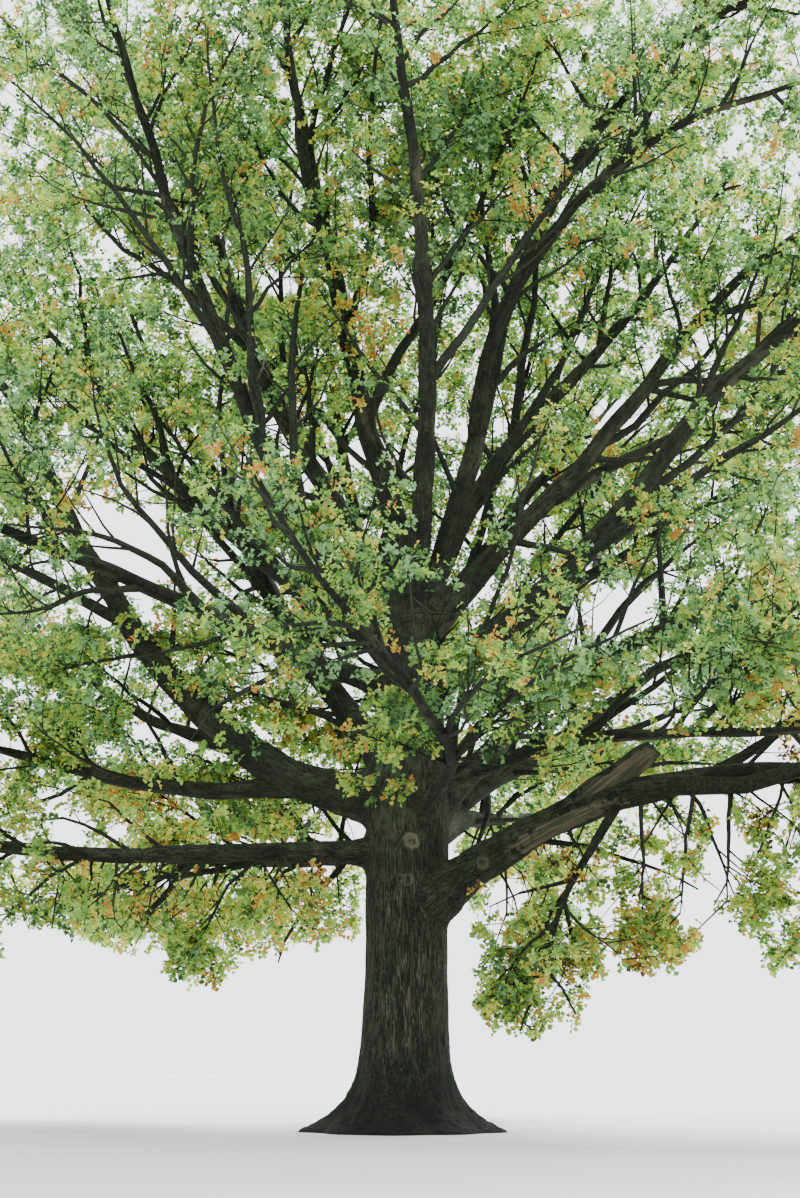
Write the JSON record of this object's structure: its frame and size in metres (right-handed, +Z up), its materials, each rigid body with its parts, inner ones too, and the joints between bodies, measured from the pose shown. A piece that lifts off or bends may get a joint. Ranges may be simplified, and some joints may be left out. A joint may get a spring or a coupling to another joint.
{
  "type": "oak tree",
  "caption": "Broad open-grown oak with a short flared trunk, low spreading boughs, a fan of rising limbs and a round leafy crown turning from green to gold.",
  "frame": {"origin": "centre of the flat cut under the trunk, at ground level", "axes": "+Z straight up the trunk; -Y is the side seen from the front, +X is its right"},
  "size_m": [21.8479, 19.3866, 20.4901],
  "materials": {
    "bark": "rough",
    "leaf_green": "matte",
    "leaf_light": "matte",
    "leaf_gold": "matte",
    "leaf_rust": "matte"
  },
  "bodies": {
    "root": {"trunk": "bark", "bough_low_left": "bark", "bough_left_rising": "bark", "bough_left_low_arm": "bark", "bough_left_mid": "bark", "bough_left_high": "bark", "bough_rear_left": "bark", "bough_fan_far_left": "bark", "bough_fan_left": "bark", "bough_fan_left_up": "bark", "bough_fan_up_rear": "bark", "bough_fan_up": "bark", "bough_fan_front": "bark", "bough_fan_right_up": "bark", "bough_fan_right_arch": "bark", "bough_fan_right_rear": "bark", "bough_fan_far_rear": "bark", "bough_fan_right": "bark", "bough_right_fork": "bark", "bough_right_high": "bark", "bough_right_rear": "bark", "bough_right_third": "bark", "bough_right_second": "bark", "bough_low_right": "bark", "bough_low_right_droop": "bark", "bough_front_left": "bark", "bough_front_right": "bark", "bough_rear_low_left": "bark", "bough_rear_low_right": "bark", "bough_rear_mid": "bark", "foliage_low_left": "leaf_green", "foliage_left_rising": "leaf_light", "foliage_left_low_arm": "leaf_green", "foliage_left_mid": "leaf_gold", "foliage_left_high": "leaf_light", "foliage_rear_left": "leaf_green", "foliage_fan_far_left": "leaf_light", "foliage_fan_left": "leaf_green", "foliage_fan_left_up": "leaf_gold", "foliage_fan_up_rear": "leaf_light", "foliage_fan_up": "leaf_green", "foliage_fan_front": "leaf_light", "foliage_fan_right_up": "leaf_green", "foliage_fan_right_arch": "leaf_gold", "foliage_fan_right_rear": "leaf_light", "foliage_fan_far_rear": "leaf_green", "foliage_fan_right": "leaf_light", "foliage_right_fork": "leaf_green", "foliage_right_high": "leaf_gold", "foliage_right_rear": "leaf_light", "foliage_right_third": "leaf_green", "foliage_right_second": "leaf_light", "foliage_low_right": "leaf_green", "foliage_low_right_droop": "leaf_rust", "foliage_front_left": "leaf_light", "foliage_front_right": "leaf_green", "foliage_rear_low_left": "leaf_light", "foliage_rear_low_right": "leaf_green", "foliage_rear_mid": "leaf_gold"}
  },
  "joints": []
}
